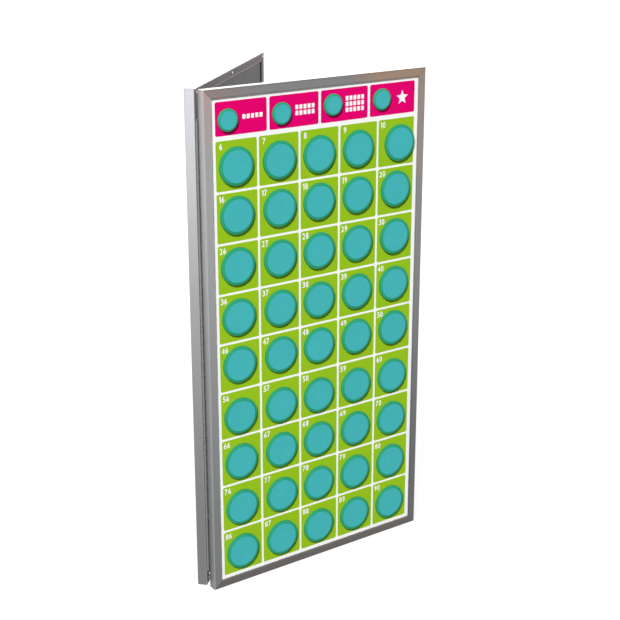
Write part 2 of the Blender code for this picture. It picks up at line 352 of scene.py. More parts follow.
@dataclass(frozen=True)
class Mottled(Finish):
    """A finish with broad patches in its colour and its shine, a fine relief and, on some, painted shade
    where things meet.
    """

    patch_size: float = 14 * MM
    patch_detail: float = 2.0
    colour_swing: float = 0.05
    gloss_swing: float = 0.06
    relief_size: float = 0.7 * MM  # most real reliefs are 0.05 to 0.3 mm wide, too fine to show
    relief_detail: float = 2.0
    relief_depth: float = 0.01 * MM
    contact_shade_colour: str = ""

    def dress(self, tree: NodeTree, shader: Node) -> None:
        """Add the patches, the relief, and the painted shade where the mesh marks it.

        Args:
            tree: The material's node tree.
            shader: Its Principled BSDF.
        """
        patches = self.speckle(tree, self.patch_size, self.patch_detail)
        unshaded = self.tint(tree, shader, patches, self.colour_swing)
        # painted shade: the colour goes towards the shade colour where the mesh marks it
        if self.contact_shade_colour:
            grime = add_node(tree, "ShaderNodeAttribute", attribute_name=CONTACT_SHADE_ATTRIBUTE).outputs["Fac"]
            shaded = add_node(tree, "ShaderNodeMix", {0: grime, 6: unshaded, 7: linear(self.contact_shade_colour)},
                             data_type="RGBA")
            tree.links.new(shaded.outputs[2], shader.inputs["Base Color"])
        self.gloss(tree, shader, patches, self.gloss_swing)
        texture = self.speckle(tree, self.relief_size, self.relief_detail)
        self.relief(tree, shader, texture, self.relief_depth)


@dataclass(frozen=True)
class ScreenInk(Finish):
    """Screen-printed ink: an even satin film with a slight grain where it took unevenly."""

    grain_size: float = 0.9 * MM  # the marks of a real screen are about 0.1 mm apart, too fine to show
    grain_depth: float = 0.002 * MM
    patch_size: float = 26 * MM
    colour_swing: float = 0.05
    gloss_swing: float = 0.07

    def dress(self, tree: NodeTree, shader: Node) -> None:
        """Add the film's grain and its slow drift in colour.

        Args:
            tree: The material's node tree.
            shader: Its Principled BSDF.
        """
        grain = self.speckle(tree, self.grain_size, detail=1.0)
        patches = self.speckle(tree, self.patch_size)
        both = add_node(tree, "ShaderNodeMath", {0: grain, 1: patches}, operation="ADD").outputs[0]
        half = add_node(tree, "ShaderNodeMath", {0: both, 1: 0.5}, operation="MULTIPLY").outputs[0]
        self.tint(tree, shader, half, self.colour_swing)
        self.gloss(tree, shader, patches, self.gloss_swing)
        self.relief(tree, shader, grain, self.grain_depth)


ALUMINIUM = BrushedAluminium("brushed_aluminium_extrusion", "#a1a1a2", 0.30, 1.0)
# the metal as it left the die, blotched with oxide, and darker to paint the shade on the back flanges
SHADED_MILL_ALUMINIUM = Mottled("mill_finish_aluminium", "#6a605e", 0.58, specular=0.1, patch_size=28 * MM,
                         patch_detail=4.0, colour_swing=0.12, gloss_swing=0.08, relief_size=1.3 * MM)
# rolled sheet with clouds and specks in its plating
PLATED_STEEL = Mottled("zinc_plated_steel", "#85817f", 0.36, 1.0, patch_size=5 * MM, patch_detail=4.0,
                       colour_swing=0.16, gloss_swing=0.08, relief_size=0.8 * MM, relief_depth=0.006 * MM)
# a sprayed coat with a faint ripple and smeared by hands, darker along the frame as painted shade under the
# rails' lips
WHITE_ENAMEL = Mottled("white_enamelled_steel", "#f8f8f6", 0.24, patch_size=35 * MM, patch_detail=3.0,
                       colour_swing=0.0, relief_size=2.2 * MM, relief_depth=0.004 * MM,
                       contact_shade_colour="#b0afb0")
GREEN_INK = ScreenInk("green_screen_ink", "#95c01e", 0.55, specular=0.06)
PINK_INK = ScreenInk("pink_screen_ink", "#e3006c", 0.55, specular=0.06)
WHITE_INK = ScreenInk("white_screen_ink", "#fbfbfa", 0.55, specular=0.06)
# moulded with a spark-eroded satin skin, the caps painted darker round the foot as the shade where they meet
# the board
TURQUOISE = Mottled("turquoise_polystyrene", "#44b2b5", 0.5, ior=1.59, specular=0.08)
SEA_GREEN = Mottled("sea_green_polystyrene", "#2a9b6c", 0.46, ior=1.59, specular=0.08,
                    contact_shade_colour="#2e7c54")
# pressed powder, nearly black and grainy
FERRITE = Mottled("sintered_ferrite", "#2d2c2e", 0.62, patch_size=0.6 * MM, patch_detail=4.0,
                  colour_swing=0.3, gloss_swing=0.0, relief_size=0.6 * MM, relief_detail=4.0,
                  relief_depth=0.02 * MM)
# a low sheen with a fine texture and faint scuffs
BACK_LACQUER = Mottled("grey_back_lacquer", "#646362", 0.58, specular=0.08, patch_size=45 * MM,
                       patch_detail=5.0, colour_swing=0.08, gloss_swing=0.10, relief_size=1.1 * MM,
                       relief_depth=0.012 * MM)


def to_mesh(builder: BMesh, name: str) -> Mesh:
    """Turn a bmesh into a mesh that is smooth except at its real edges.

    Args:
        builder: The bmesh, which is used up.
        name: The mesh's name.

    Returns:
        The mesh, with its faces pointing out.
    """
    bmesh.ops.recalc_face_normals(builder, faces=builder.faces)
    mesh = bpy.data.meshes.new(name)
    builder.to_mesh(mesh)
    builder.free()
    mesh.shade_smooth()
    mesh.set_sharp_from_angle(angle=SMOOTH_ANGLE)
    return mesh


def joined(name: str, meshes: Iterable[Mesh], welded: bool = False) -> Mesh:
    """Put several meshes into one.

    Args:
        name: The new mesh's name.
        meshes: The meshes, which are used up.
        welded: Whether points in the same place become one.

    Returns:
        One mesh with all their faces.
    """
    builder = bmesh.new()
    for mesh in meshes:
        builder.from_mesh(mesh)
        bpy.data.meshes.remove(mesh)
    if welded:
        bmesh.ops.remove_doubles(builder, verts=builder.verts, dist=WELD_DISTANCE)
    return to_mesh(builder, name)


def evaluated(item: Object) -> Mesh:
    """Turn an object, its modifiers included, into a plain mesh and remove the object.

    Args:
        item: A mesh, curve or text object.

    Returns:
        A new mesh in the object's own space.
    """
    bpy.context.scene.collection.objects.link(item)
    graph = bpy.context.evaluated_depsgraph_get()
    mesh = bpy.data.meshes.new_from_object(item.evaluated_get(graph), preserve_all_data_layers=True,
                                           depsgraph=graph)
    bpy.data.objects.remove(item, do_unlink=True)
    return mesh


def flattened(mesh: Mesh) -> Mesh:
    """Let each broad face keep its own direction right up to the narrow fillets beside it.

    Args:
        mesh: The mesh, which is used up.

    Returns:
        The same mesh with normals weighted by the size of its faces.
    """
    item = bpy.data.objects.new(mesh.name, mesh)
    item.modifiers.new("weighted_normals", "WEIGHTED_NORMAL").keep_sharp = True
    result = evaluated(item)
    bpy.data.meshes.remove(mesh)
    return result


def turned(profile: Outline, segments: int, parts: Sequence[int] | None = None) -> BMesh:
    """Turn a profile about the Z axis into a closed solid.

    Args:
        profile: Points as (radius, height), from the axis at the top to the axis at the bottom.
        segments: How many steps go round.
        parts: A part number for each stretch between two points, kept on its faces.

    Returns:
        The solid as a bmesh.
    """
    builder = bmesh.new()
    layer = builder.faces.layers.int.new(PART_ATTRIBUTE)
    rings = []
    for radius, height in profile:
        count = segments if radius > 0 else 1
        turns = [2 * math.pi * step / segments for step in range(count)]
        spots = [(radius * math.cos(t), radius * math.sin(t), height) for t in turns]
        rings.append([builder.verts.new(spot) for spot in spots])
    for stretch, (upper, lower) in enumerate(zip(rings, rings[1:])):
        for step in range(segments):
            after = (step + 1) % segments
            corners = [upper[step % len(upper)], lower[step % len(lower)],
                       lower[after % len(lower)], upper[after % len(upper)]]
            face = builder.faces.new(dict.fromkeys(corners))
            face[layer] = parts[stretch] if parts else 0
    return builder


def filleted(corners: Sequence[tuple[float, float, float]], steps: int) -> tuple[Outline, list[bool]]:
    """Round the corners of a closed outline.

    Args:
        corners: Each corner as (x, y, radius of its fillet).
        steps: How many straight steps make a fillet.

    Returns:
        The outline's points, and for each one whether a fillet runs from it to the next.
    """
    points: Outline = []
    in_fillet: list[bool] = []
    for index, (x, y, radius) in enumerate(corners):
        corner = Vector((x, y))
        before = (Vector(corners[index - 1][:2]) - corner).normalized()
        after = (Vector(corners[(index + 1) % len(corners)][:2]) - corner).normalized()
        half = before.angle(after) / 2
        if not radius:
            points.append((x, y))
            in_fillet.append(False)
            continue
        middle = corner + (before + after).normalized() * radius / math.sin(half)
        start = corner + before * radius / math.tan(half) - middle
        sweep = start.angle_signed(corner + after * radius / math.tan(half) - middle)
        for step in range(steps + 1):
            spoke = start.copy()
            spoke.rotate(Matrix.Rotation(-sweep * step / steps, 2))
            points.append(tuple(middle + spoke))
            in_fillet.append(step < steps)
    return points, in_fillet


def prism(outline: Outline, low: float, high: float) -> BMesh:
    """Raise a flat outline into a solid.

    Args:
        outline: The outline's points in X and Y.
        low: The height of its underside.
        high: The height of its top.

    Returns:
        The solid as a bmesh.
    """
    builder = bmesh.new()
    floor = builder.faces.new([builder.verts.new((x, y, low)) for x, y in outline])
    lifted = bmesh.ops.extrude_face_region(builder, geom=[floor])["geom"]
    raised = [item for item in lifted if isinstance(item, BMVert)]
    bmesh.ops.translate(builder, verts=raised, vec=(0.0, 0.0, high - low))
    return builder


def add_piece(name: str, mesh: Mesh, body: str, finish: Finish | None = None,
              stands_for: Sequence[str] = ()) -> None:
    """Put a finished mesh in the scene and set it on its body.

    Args:
        name: The piece's name.
        mesh: The mesh, placed in the row frame.
        body: The body that it moves with.
        finish: Its finish, where the mesh doesn't hold one already.
        stands_for: The CAD nodes that it replaces.
    """
    if finish:
        mesh.materials.clear()
        mesh.materials.append(finish.material())
    mesh = flattened(mesh)
    mesh.name = name
    piece = bpy.data.objects.new(name, mesh)
    bpy.context.scene.collection.objects.link(piece)
    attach(piece, body)
    if stands_for:
        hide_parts(*stands_for)
    LOG.info("%s rides on %s with %d faces", name, body, len(mesh.polygons))


class NodeTool:
    """A Geometry Nodes tree with named inputs, which is run to give a plain mesh."""

    def __init__(self, name: str, inputs: Mapping[str, str]) -> None:
        """Start an empty tree.

        Args:
            name: The tree's name.
            inputs: The socket type of each named input.
        """
        self.tree = bpy.data.node_groups.new(name, "GeometryNodeTree")
        face = self.tree.interface
        sockets = {"Geometry": "NodeSocketGeometry", **inputs}
        made = {key: face.new_socket(key, in_out="INPUT", socket_type=kind) for key, kind in sockets.items()}
        self.identifiers = {key: socket.identifier for key, socket in made.items()}
        face.new_socket("Geometry", in_out="OUTPUT", socket_type="NodeSocketGeometry")
        self.source = add_node(self.tree, "NodeGroupInput").outputs

    def end(self, instances: NodeSocket, parts: Mapping[int, str]) -> None:
        """Close the tree: make the instances real and set the material of each part.

        Args:
            instances: The geometry to put out.
            parts: The name of the material input for each part number.
        """
        geometry = add_node(self.tree, "GeometryNodeRealizeInstances", {"Geometry": instances}).outputs[0]
        for number, key in parts.items():
            inputs = {"Geometry": geometry, "Material": self.source[key]}
            if len(parts) > 1:
                mark = add_node(self.tree, "GeometryNodeInputNamedAttribute", {"Name": PART_ATTRIBUTE},
                                data_type="INT").outputs[0]
                same = add_node(self.tree, "FunctionNodeCompare", {2: mark, 3: number}, data_type="INT",
                                operation="EQUAL")
                inputs["Selection"] = same.outputs[0]
            geometry = add_node(self.tree, "GeometryNodeSetMaterial", inputs).outputs[0]
        add_node(self.tree, "NodeGroupOutput", {0: geometry})

    def run(self, points: Sequence[Sequence[float]], **values: object) -> Mesh:
        """Run the tree on a set of points.

        Args:
            points: The places that the tree starts from.
            values: Each named input's value, with underscores for the spaces in its name.

        Returns:
            The result as a plain mesh.
        """
        cloud = bpy.data.meshes.new(self.tree.name)
        cloud.from_pydata([tuple(point) for point in points], [], [])
        carrier = bpy.data.objects.new(self.tree.name, cloud)
        modifier = carrier.modifiers.new(self.tree.name, "NODES")
        modifier.node_group = self.tree
        for key, value in values.items():
            modifier[self.identifiers[key.replace("_", " ")]] = value
        mesh = evaluated(carrier)
        bpy.data.meshes.remove(cloud)
        return mesh


class RepeatTool(NodeTool):
    """Sets a copy of one shape on every point."""

    def __init__(self, name: str, parts: Mapping[int, str]) -> None:
        """Build the tree.

        Args:
            name: The tree's name.
            parts: The name of the material input for each part number of the shape.
        """
        materials = dict.fromkeys(parts.values(), "NodeSocketMaterial")
        super().__init__(name, {"Shape": "NodeSocketObject", **materials})
        shape = add_node(self.tree, "GeometryNodeObjectInfo", {"Object": self.source["Shape"]})
        copies = add_node(self.tree, "GeometryNodeInstanceOnPoints",
                          {"Points": self.source["Geometry"], "Instance": shape.outputs["Geometry"]})
        self.end(copies.outputs[0], parts)

    def repeat(self, shape: Mesh, points: Sequence[Sequence[float]], **finishes: Finish) -> Mesh:
        """Set the shape on the points.

        Args:
            shape: The shape's mesh.
            points: Where its copies go.
            finishes: The finish for each material input.

        Returns:
            All the copies in one mesh.
        """
        pattern = bpy.data.objects.new(shape.name + "_pattern", shape)
        bpy.context.scene.collection.objects.link(pattern)
        values = {key: finish.material() for key, finish in finishes.items()}
        mesh = self.run(points, Shape=pattern, **values)
        bpy.data.objects.remove(pattern, do_unlink=True)
        return mesh


class CellTool(NodeTool):
    """Prints a grid of rounded cells, each a thin film of ink with closed edges."""

    CORNER_STEPS = 5

    def __init__(self) -> None:
        """Build the tree: one cell from a filleted rectangle, set on a grid of points."""
        sizes = ("Width", "Height", "Corner", "Film", "Step Right", "Step Up")
        super().__init__("printed_cells", {**dict.fromkeys(sizes, "NodeSocketFloat"),
                                           **dict.fromkeys(("Columns", "Rows"), "NodeSocketInt"),
                                           "Ink": "NodeSocketMaterial"})
        tree, source = self.tree, self.source
        frame = add_node(tree, "GeometryNodeCurvePrimitiveQuadrilateral",
                         {"Width": source["Width"], "Height": source["Height"]})
        rounded = add_node(tree, "GeometryNodeFilletCurve", {"Curve": frame.outputs[0],
                                                             "Radius": source["Corner"],
                                                             "Count": self.CORNER_STEPS}, mode="POLY")
        sheet = add_node(tree, "GeometryNodeFillCurve", {"Curve": rounded.outputs[0]}, mode="NGONS")
        raised = add_node(tree, "GeometryNodeExtrudeMesh",
                          {"Mesh": sheet.outputs[0], "Offset Scale": source["Film"], "Individual": False})
        under = add_node(tree, "GeometryNodeFlipFaces", {"Mesh": sheet.outputs[0]})
        both = add_node(tree, "GeometryNodeJoinGeometry", {0: raised.outputs[0]})
        tree.links.new(under.outputs[0], both.inputs[0])
        cell = add_node(tree, "GeometryNodeMergeByDistance",
                        {"Geometry": both.outputs[0], "Distance": WELD_DISTANCE})
        spans = []
        for count, step in (("Columns", "Step Right"), ("Rows", "Step Up")):
            gaps = add_node(tree, "ShaderNodeMath", {0: source[count], 1: 1.0}, operation="SUBTRACT")
            span = add_node(tree, "ShaderNodeMath", {0: gaps.outputs[0], 1: source[step]},
                            operation="MULTIPLY")
            spans.append(span.outputs[0])
        grid = add_node(tree, "GeometryNodeMeshGrid", {"Size X": spans[0], "Size Y": spans[1],
                                                       "Vertices X": source["Columns"],
                                                       "Vertices Y": source["Rows"]})
        copies = add_node(tree, "GeometryNodeInstanceOnPoints",
                          {"Points": grid.outputs["Mesh"], "Instance": cell.outputs[0]})
        self.end(copies.outputs[0], {0: "Ink"})


@dataclass(frozen=True)
class Panel:
    """One framed panel, as the CAD frame has it."""

    name: str
    body: str
    place: Matrix
    hinge_side: int
    width: float
    height: float
    thickness: float
    rail_face: float
    board_width: float
    board_height: float
    board_thickness: float

    @property
    def face(self) -> float:
        """How far the board's printed face stands out of the panel's middle plane."""
        return self.board_thickness / 2

    @property
    def back(self) -> float:
        """Where the back of the rails lies."""
        return -self.thickness / 2

    def placed(self, mesh: Mesh) -> Mesh:
        """Carry a mesh from the panel's own space into the row frame."""
        mesh.transform(self.place)
        return mesh

    def named(self, part: str) -> str:
        """Return a part's name on this panel."""
        return "%s_%s" % (self.name, part)

    @classmethod
    def pair(cls, fold: Mapping) -> tuple["Panel", "Panel"]:
        """Read both panels from the CAD frame.

        Args:
            fold: The record's joint between them.

        Returns:
            The front and the rear panel.
        """
        low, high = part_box("front_board")
        left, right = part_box("front_hinge_rail")[0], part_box("front_outer_rail")[1]
        top_low, top_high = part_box("front_top_rail")
        sizes = dict(width=right.x - left.x, height=top_high.z, thickness=top_high.y - top_low.y,
                     rail_face=top_high.z - top_low.z, board_width=high.x - low.x,
                     board_height=high.z - low.z, board_thickness=high.y - low.y)
        upright = Matrix.Rotation(math.pi / 2, 4, "X")
        axis = Vector(fold["pos_m"])
        shut = (Matrix.Translation((0.0, axis.y, 0.0)) @ Matrix.Rotation(math.pi, 4, "Z")
                @ Matrix.Translation((0.0, -axis.y, 0.0)))
        opened = (Matrix.Translation(axis) @ Matrix.Rotation(-math.radians(fold["range_deg"][0]), 4, "Z")
                  @ Matrix.Translation(-axis))
        front = cls("front", fold["parent"], upright, -1, **sizes)
        rear = cls("rear", fold["child"], opened @ shut @ upright, 1, **sizes)
        return front, rear


@dataclass(frozen=True)
class RailShade:
    """The painted shade of one rail, as light falls on it: its tint, how much lighter or darker its lip is
    painted as a highlight or shade, and its share of the painted reflections.
    """

    tint: tuple[float, float, float]
    lip_light: float
    cast: float = 1.0


# painted shade and highlights: darker tints for rails in less light, and lips painted lighter or darker
RAIL_SHADES = {
    Side.HINGE: RailShade((1.0, 1.0, 1.0), 1.35),
    Side.OUTER: RailShade((0.71, 0.71, 0.71), 0.8, 0.45),
    Side.BOTTOM: RailShade((0.69, 0.615, 0.585), 2.4),
    Side.TOP: RailShade((0.62, 0.62, 0.62), 0.8),
}


@dataclass
class FrameRails:
    """The four mitred U-section rails round a panel."""

    panel: Panel
    wall: float = 1.2 * MM
    outer_fillet: float = 0.6 * MM
    lip_round: float = 0.85 * MM
    lip_fillet: float = 0.25 * MM
    mitre_gap: float = 0.08 * MM
    fillet_steps: int = 4

    def section(self) -> tuple[Outline, list[bool]]:
        """Draw the rail's section.

        Returns:
            Its points as (depth in from the panel's edge, place in its thickness), and for each one whether
            a fillet runs from it to the next.
        """
        half = self.panel.thickness / 2
        face, wall = self.panel.rail_face, self.wall
        front = [(0.0, half, self.outer_fillet), (face, half, self.lip_round),
                 (face, half - wall, self.lip_fillet), (wall, half - wall, 0.0)]
        back = [(x, -y, radius) for x, y, radius in reversed(front)]
        return filleted(front + back, self.fillet_steps)

    def spot(self, side: Side, along: float, depth: float, out: float) -> tuple[float, float, float]:
        """Return a point of one rail in the panel's space.

        Args:
            side: Which rail.
            along: How far along the rail, from its middle.
            depth: How far in from the panel's edge.
            out: Where in the panel's thickness.

        Returns:
            The point's X, Y and Z.
        """
        half_width, height = self.panel.width / 2, self.panel.height
        hinge = self.panel.hinge_side
        return {
            Side.HINGE: (hinge * (half_width - depth), height / 2 + along, out),
            Side.OUTER: (-hinge * (half_width - depth), height / 2 + along, out),
            Side.BOTTOM: (along, depth, out),
            Side.TOP: (along, height - depth, out),
        }[side]

    def rail(self, side: Side) -> Mesh:
        """Draw one rail out along its edge, with both ends cut to the mitre.

        Args:
            side: Which rail.

        Returns:
            Its mesh in the panel's space, brushed along its length with its painted shade marked, and left
            as drawn on its back flange, which is darker to paint the shade there.
        """
        outline, in_fillet = self.section()
        length = self.panel.height if side in (Side.HINGE, Side.OUTER) else self.panel.width
        builder = bmesh.new()
        grain = builder.loops.layers.uv.new(GRAIN_MAP)
        worn = builder.faces.layers.float.new(WORN_ATTRIBUTE)
        tone = builder.faces.layers.float_vector.new(RAIL_SHADE_ATTRIBUTE)
        cast = builder.faces.layers.float.new(REFLECTION_ATTRIBUTE)
        rail_shading = RAIL_SHADES[side]
        flange = self.wall - self.panel.thickness / 2 + WELD_DISTANCE
        reach = [length / 2 - depth - self.mitre_gap for depth, _ in outline]
        ends = []
        for way in (-1, 1):
            spots = [self.spot(side, way * far, *point) for far, point in zip(reach, outline)]
            ends.append([builder.verts.new(spot) for spot in spots])
            builder.faces.new(ends[-1])[tone] = rail_shading.tint
        around = 0.0
        for index, point in enumerate(outline):
            after = (index + 1) % len(outline)
            across = (Vector(outline[after]) - Vector(point)).length
            face = builder.faces.new((ends[0][index], ends[0][after], ends[1][after], ends[1][index]))
            on_lip = point[0] > self.panel.rail_face / 2
            face[worn] = float(in_fillet[index] and not on_lip)
            # painted shade for the rail, times a painted highlight or shade on its lip's fillets
            face[tone] = Vector(rail_shading.tint) * (rail_shading.lip_light if in_fillet[index] and on_lip else 1.0)
            # the back flange takes the darker mill finish, which also paints the shade there
            on_back = max(point[1], outline[after][1]) < flange and not in_fillet[index]
            face.material_index = int(on_back)
            lays = ((-reach[index], around), (-reach[after], around + across),
                    (reach[after], around + across), (reach[index], around))
            for loop, lay in zip(face.loops, lays):
                loop[grain].uv = lay
            around += across
        for face in builder.faces:
            face[cast] = rail_shading.cast
        mesh = to_mesh(builder, side.value)
        for finish in (ALUMINIUM, SHADED_MILL_ALUMINIUM):
            mesh.materials.append(finish.material())
        return mesh

    def build(self) -> None:
        """Make and dress the four rails."""
        for side in Side:
            node = "rear_frame" if self.panel.name == "rear" else self.panel.named("%s_rail" % side.value)
            mesh = self.panel.placed(self.rail(side))
            add_piece(self.panel.named("%s_extrusion" % side.value), mesh, self.panel.body,
                      stands_for=[node])


@dataclass
class Board:
    """The laminated board in a panel's groove: an enamelled face sheet on a grey-backed core."""

    panel: Panel
    node: str
    sheet: float = 0.5 * MM
    # how far in from the rails the painted shade fades out
    grime: float = 1.1 * MM

    def slab(self, name: str, low: float, high: float) -> Mesh:
        """Make one layer of the board, with its painted shade along the frame marked.

        Args:
            name: The mesh's name.
            low: Where its back lies in the panel's thickness.
            high: Where its front lies.

        Returns:
            The layer's mesh in the panel's space.
        """
        half = self.panel.board_width / 2
        foot = (self.panel.height - self.panel.board_height) / 2
        top = foot + self.panel.board_height
        builder = prism([(-half, foot), (half, foot), (half, top), (-half, top)], low, high)
        contact_shade_layer = builder.verts.layers.float.new(CONTACT_SHADE_ATTRIBUTE)
        for vertex in builder.verts:
            vertex[contact_shade_layer] = 1.0
        hidden = self.panel.rail_face - (self.panel.width - self.panel.board_width) / 2
        # painted shade: full under the rails and at their edge, gone a little way in
        for inset, amount in ((hidden, 1.0), (self.grime, 0.0)):
            face = max(builder.faces, key=lambda item: item.calc_center_median().z)
            bmesh.ops.inset_region(builder, faces=[face], thickness=inset)
            for vertex in face.verts:
                vertex[contact_shade_layer] = amount
        return to_mesh(builder, name)

    def build(self) -> None:
        """Make and dress the face sheet and the core with its lacquered back."""
        face = self.panel.face
        layers = (("face_sheet", face - self.sheet, face, WHITE_ENAMEL),
                  ("core_and_back_sheet", -face, face - self.sheet, BACK_LACQUER))
        for part, low, high, finish in layers:
            mesh = self.panel.placed(self.slab(part, low, high))
            add_piece(self.panel.named(part), mesh, self.panel.body, finish, [self.node])


@dataclass
class Print:
    """What is printed on a board: the number cells, the header and the numbers."""

    panel: Panel
    cells: CellTool
    first_number: int
    columns: int = 5
    rows: int = 9
    row_step: int = 10
    cell_width: float = 42.0 * MM
    cell_height: float = 44.5 * MM
    gap: float = 2.2 * MM
    header_height: float = 29.7 * MM
    header_gap: float = 2.7 * MM
    header_to_grid: float = 4.3 * MM
    top_margin: float = 3.4 * MM
    corner: float = 1.7 * MM
    film: float = 0.05 * MM
    film_lift: float = 0.02 * MM
    digit_height: float = 5.7 * MM
    digit_width: float = 2.95 * MM
    digit_space: float = 0.75 * MM
    digit_boldness: float = 0.016
    digit_curve_steps: int = 3
    number_middle: float = 5.25 * MM
    number_top: float = 2.0 * MM
    stroke: float = 1.0 * MM
    # the corners of a figure 1: strokes to the right, and the share of its height down
    one_outline: tuple[tuple[float, float], ...] = (
        (0.6, 1.0), (1.6, 1.0), (1.6, 0.0), (0.8, 0.0), (0.0, 0.12), (0.0, 0.28), (0.6, 0.24))
    pip_width: float = 3.1 * MM
    pip_height: float = 4.0 * MM
    pip_gap: float = 1.3 * MM
    pip_corner: float = 0.4333 * MM
    pips_in_line: int = 5
    mark_offset: float = 11.6 * MM
    star_radius: float = 7.0 * MM
    star_inner_radius: float = 3.08 * MM
    star_points: int = 5

    @property
    def width(self) -> float:
        """The width of the printed grid."""
        return self.columns * (self.cell_width + self.gap) - self.gap

    @property
    def grid_height(self) -> float:
        """The height of the number grid."""
        return self.rows * (self.cell_height + self.gap) - self.gap

    @property
    def header_top(self) -> float:
        """The height of the header's upper edge."""
        return self.panel.height - self.panel.rail_face - self.top_margin

    @property
    def grid_top(self) -> float:
        """The height of the number grid's upper edge."""
        return self.header_top - self.header_height - self.header_to_grid

    @property
    def ink_top(self) -> float:
        """How far the cells' ink stands out of the panel's middle plane."""
        return self.panel.face + self.film_lift + self.film

    def header_cell(self, count: int) -> float:
        """Return the width of one of so many header cells."""
        return (self.width - (count - 1) * self.header_gap) / count

    def grid(self, ink: Finish, columns: int, rows: int, width: float, height: float, gap: float,
             corner: float, middle: Sequence[float]) -> Mesh:
        """Print a grid of rounded cells.

        Args:
            ink: The ink.
            columns: How many cells go across.
            rows: How many cells go up.
            width: One cell's width.
            height: One cell's height.
            gap: The white between two cells.
            corner: The radius of a cell's corners.
            middle: The middle of the grid's underside, in the panel's space.

        Returns:
            The film's mesh in the panel's space.
        """
        mesh = self.cells.run([(0.0, 0.0, 0.0)], Width=width, Height=height, Corner=corner, Film=self.film,
                              Step_Right=width + gap, Step_Up=height + gap, Columns=columns, Rows=rows,
                              Ink=ink.material())
        mesh.transform(Matrix.Translation(middle))
        return mesh

    def number_cells(self) -> Mesh:
        """Print the green number cells.

        Returns:
            The film's mesh in the panel's space.
        """
        middle = self.grid_top - self.grid_height / 2
        return self.grid(GREEN_INK, self.columns, self.rows, self.cell_width, self.cell_height, self.gap,
                         self.corner, (0.0, middle, self.panel.face + self.film_lift))

    def header_cells(self, count: int) -> Mesh:
        """Print the pink header cells.

        Args:
            count: How many there are.

        Returns:
            The film's mesh in the panel's space.
        """
        middle = self.header_top - self.header_height / 2
        return self.grid(PINK_INK, count, 1, self.header_cell(count), self.header_height, self.header_gap,
                         self.corner, (0.0, middle, self.panel.face + self.film_lift))

    def digit(self, figure: str) -> Mesh:
        """Draw one bold, narrow figure whose upper left corner is the origin.

        Args:
            figure: The figure, from 0 to 9.

        Returns:
            Its mesh, as thick as a film of ink.
        """
        if figure == "1":
            return self.one()
        text = bpy.data.curves.new("figure_" + figure, "FONT")
        text.body = figure
        text.offset = self.digit_boldness
        text.extrude = 1.0  # brought down to the film's thickness below
        text.resolution_u = self.digit_curve_steps
        mesh = evaluated(bpy.data.objects.new(text.name, text))
        bpy.data.curves.remove(text)
        low, high = [Vector(map(choose, zip(*(v.co for v in mesh.vertices)))) for choose in (min, max)]
        size = high - low
        fit = Matrix.Diagonal((self.digit_width / size.x, self.digit_height / size.y,
                               self.film / size.z, 1.0))
        mesh.transform(fit @ Matrix.Translation((-low.x, -high.y, -low.z)))
        return joined("figure_" + figure, [mesh], welded=True)

    def one(self) -> Mesh:
        """Draw a figure 1 as a plain upright with a small flag, which stays clear at this size.

        Returns:
            Its mesh, as thick as a film of ink.
        """
        outline = [(strokes * self.stroke, -share * self.digit_height)
                   for strokes, share in self.one_outline]
        return to_mesh(prism(outline, 0.0, self.film), "figure_1")

    def numbers(self) -> Mesh:
        """Print each cell's number in its upper left corner.

        Returns:
            All the figures in one mesh, in the panel's space.
        """
        figures = {figure: self.digit(figure) for figure in "0123456789"}
        widths = {figure: max(v.co.x for v in mesh.vertices) for figure, mesh in figures.items()}
        stamps = []
        for row in range(self.rows):
            for column in range(self.columns):
                number = str(self.first_number + row * self.row_step + column)
                span = sum(widths[figure] + self.digit_space for figure in number) - self.digit_space
                left_edge = column * (self.cell_width + self.gap) - self.width / 2
                right = left_edge + self.number_middle - span / 2
                up = self.grid_top - row * (self.cell_height + self.gap) - self.number_top
                for figure in number:
                    stamp = figures[figure].copy()
                    stamp.transform(Matrix.Translation((right, up, self.ink_top)))
                    stamps.append(stamp)
                    right += widths[figure] + self.digit_space
        for mesh in figures.values():
            bpy.data.meshes.remove(mesh)
        return joined("numbers", stamps)

    def star(self, middle: Sequence[float]) -> Mesh:
        """Print a plain star.

        Args:
            middle: The middle of its underside, in the panel's space.

        Returns:
            The star's mesh in the panel's space.
        """
        outline = []
        for point in range(2 * self.star_points):
            radius = self.star_inner_radius if point % 2 else self.star_radius
            angle = math.pi / 2 + math.pi * point / self.star_points
            outline.append((middle[0] + radius * math.cos(angle), middle[1] + radius * math.sin(angle)))
        return to_mesh(prism(outline, middle[2], middle[2] + self.film), "star")

    def header_marks(self, count: int) -> Mesh:
        """Print what each header cell is for: one, two or three lines of pips, and a star.

        Args:
            count: How many header cells there are.

        Returns:
            All the marks in one mesh, in the panel's space.
        """
        step = self.header_cell(count) + self.header_gap
        up = self.header_top - self.header_height / 2
        marks = []
        for index in range(count):
            right = (index - (count - 1) / 2) * step + self.mark_offset
            middle = (right, up, self.ink_top)
            if index == count - 1:
                marks.append(self.star(middle))
            else:
                marks.append(self.grid(WHITE_INK, self.pips_in_line, index + 1, self.pip_width,
                                       self.pip_height, self.pip_gap, self.pip_corner, middle))
        return joined("header_marks", marks)

    def build(self, header_cells: int) -> None:
        """Print the board.

        Args:
            header_cells: How many cells the header has. A header of one cell is a bare band.
        """
        prints = [("number_cells", self.number_cells(), None),
                  ("header_cells", self.header_cells(header_cells), None),
                  ("numbers", self.numbers(), WHITE_INK)]
        if header_cells > 1:
            prints.append(("header_marks", self.header_marks(header_cells), WHITE_INK))
        for part, mesh, ink in prints:
            add_piece(self.panel.named(part), self.panel.placed(mesh), self.panel.body, ink)


